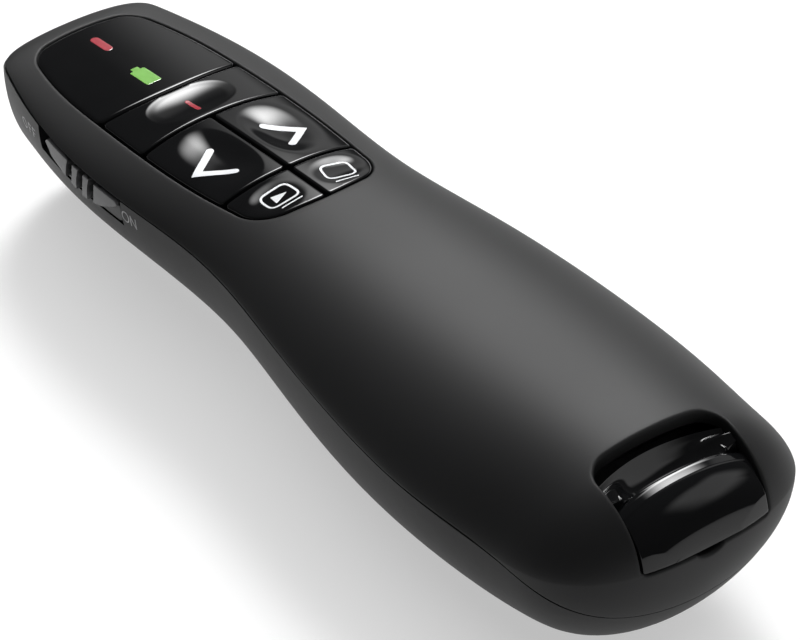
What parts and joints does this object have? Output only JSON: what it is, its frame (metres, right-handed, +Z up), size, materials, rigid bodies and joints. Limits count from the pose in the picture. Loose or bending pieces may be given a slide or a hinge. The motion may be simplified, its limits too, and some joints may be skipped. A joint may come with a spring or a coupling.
{
  "type": "wireless presentation clicker",
  "caption": "Slim waisted presentation remote with a glossy key cluster, laser in its nose, ribbed side switch and a plug-in receiver stowed in its tail.",
  "frame": {"origin": "under the middle of the body, on the flat of the belly", "axes": "+Y along the body toward the laser nose, +Z up through the keys, +X to the user's right"},
  "size_m": [0.0382, 0.1154, 0.0273],
  "materials": {
    "soft_touch_shell": "satin soft-touch",
    "gloss_black": "polished",
    "frame_black": "moulded",
    "solder_mask": "solder mask",
    "switch_body": "moulded",
    "switch_plunger": "moulded",
    "screw_steel": "zinc plated",
    "chip_black": "moulded",
    "crystal_can": "satin",
    "led_red": "clear",
    "led_green": "clear",
    "light_pipe": "clear",
    "laser_brass": "turned",
    "lens_glass": "polished",
    "diode_can": "gold flashed",
    "flex_amber": "smooth",
    "cell_jacket": "printed sleeve",
    "contact_nickel": "nickel plated",
    "lead_red": "smooth",
    "lead_black": "smooth",
    "receiver_case": "moulded",
    "usb_steel": "nickel plated",
    "usb_insulator": "moulded",
    "gold_pins": "gold plated",
    "dock_black": "moulded"
  },
  "bodies": {
    "housing": {"top_shell": "soft_touch_shell", "bottom_shell": "soft_touch_shell", "window": "gloss_black", "key_frame": "frame_black", "circuit_board": "solder_mask", "laser_switch": "switch_body", "back_switch": "switch_body", "next_switch": "switch_body", "slideshow_switch": "switch_body", "blank_switch": "switch_body", "board_screw_1": "screw_steel", "board_screw_2": "screw_steel", "board_screw_3": "screw_steel", "board_screw_4": "screw_steel", "case_screw_1": "screw_steel", "case_screw_2": "screw_steel", "controller_chip": "chip_black", "radio_chip": "chip_black", "crystal": "crystal_can", "red_led": "led_red", "green_led": "led_green", "red_guide": "light_pipe", "green_guide": "light_pipe", "slide_switch": "switch_body", "laser_barrel": "laser_brass", "laser_lens": "lens_glass", "laser_diode": "diode_can", "laser_flex": "flex_amber", "aperture_ring": "gloss_black", "cell_left": "cell_jacket", "cell_right": "cell_jacket", "contact_bridge": "contact_nickel", "contact_plus": "contact_nickel", "contact_minus": "contact_nickel", "lead_plus": "lead_red", "lead_minus": "lead_black", "receiver_dock": "dock_black"},
    "laser_key": {"laser_button": "gloss_black", "laser_plunger": "switch_plunger"},
    "back_key": {"back_button": "gloss_black", "back_plunger": "switch_plunger"},
    "next_key": {"next_button": "gloss_black", "next_plunger": "switch_plunger"},
    "slideshow_key": {"slideshow_button": "gloss_black", "slideshow_plunger": "switch_plunger"},
    "blank_key": {"blank_button": "gloss_black", "blank_plunger": "switch_plunger"},
    "power_slide": {"power_knob": "gloss_black", "switch_lever": "switch_plunger"},
    "receiver": {"receiver_lower": "receiver_case", "receiver_upper": "receiver_case", "receiver_cap": "gloss_black", "usb_shell": "usb_steel", "usb_tongue": "usb_insulator", "usb_pins": "gold_pins", "receiver_board": "solder_mask", "receiver_chip": "chip_black"},
    "door": {"battery_door": "soft_touch_shell"}
  },
  "joints": [
    {"name": "laser_press", "type": "slide", "parent": "housing", "child": "laser_key", "axis": [0, 0, -1], "range_m": [0, 0.0004], "stiffness_N_per_m": 2500},
    {"name": "back_press", "type": "slide", "parent": "housing", "child": "back_key", "axis": [0, 0, -1], "range_m": [0, 0.0004], "stiffness_N_per_m": 2500},
    {"name": "next_press", "type": "slide", "parent": "housing", "child": "next_key", "axis": [0, 0, -1], "range_m": [0, 0.0004], "stiffness_N_per_m": 2500},
    {"name": "slideshow_press", "type": "slide", "parent": "housing", "child": "slideshow_key", "axis": [0, 0, -1], "range_m": [0, 0.0004], "stiffness_N_per_m": 2500},
    {"name": "blank_press", "type": "slide", "parent": "housing", "child": "blank_key", "axis": [0, 0, -1], "range_m": [0, 0.0004], "stiffness_N_per_m": 2500},
    {"name": "power_slide", "type": "slide", "parent": "housing", "child": "power_slide", "axis": [0, 1, 0], "range_m": [0, 0.0018]},
    {"name": "receiver_slide", "type": "slide", "parent": "housing", "child": "receiver", "axis": [0, -1, 0], "range_m": [0, 0.065]},
    {"name": "door_hinge", "type": "hinge", "parent": "housing", "child": "door", "pos_m": [0, 0.00925, 0.0033], "axis": [1, 0, 0], "range_deg": [0, 70]}
  ]
}
